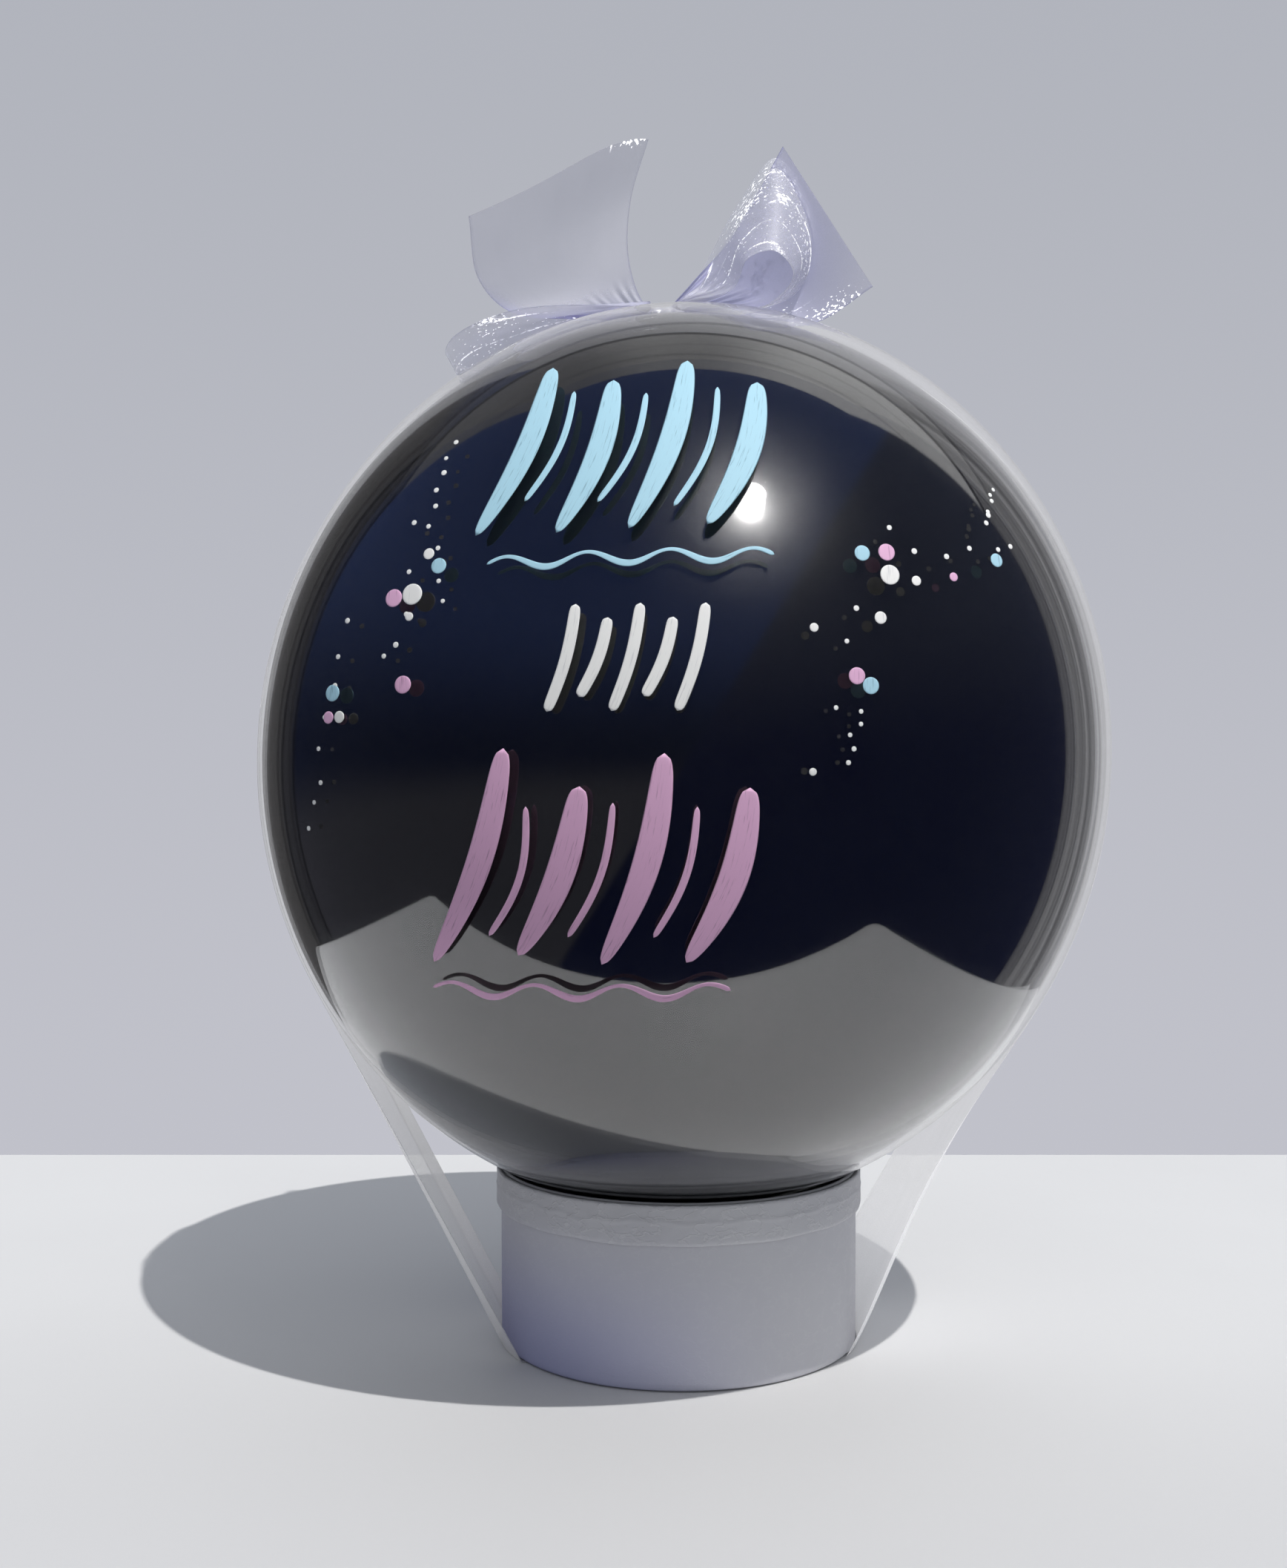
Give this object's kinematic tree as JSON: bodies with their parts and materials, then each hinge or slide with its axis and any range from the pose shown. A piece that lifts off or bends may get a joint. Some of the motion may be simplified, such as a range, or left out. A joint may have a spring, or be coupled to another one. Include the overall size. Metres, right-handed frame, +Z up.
{
  "type": "gender reveal balloon",
  "caption": "Clear film balloon with a dark balloon inside, painted with strokes and dots, standing in an open round gift box and tied with a wide sheer ribbon and a bow.",
  "frame": {"origin": "on the underside, below the middle of the gift box", "axes": "+Z up, -Y towards the painted front, +X to the right of the front"},
  "size_m": [0.4491, 0.446, 0.6601],
  "materials": {
    "balloon_film": "polished",
    "inner_balloon": "gloss",
    "paint_white": "satin",
    "paint_blue": "satin",
    "paint_pink": "satin",
    "box_board": "satin",
    "organza": "satin"
  },
  "bodies": {
    "root": {"balloon": "balloon_film", "gift_box": "box_board", "box_rim_band": "box_board", "ribbon_strap": "organza", "ribbon_bow": "organza"}
  },
  "joints": []
}
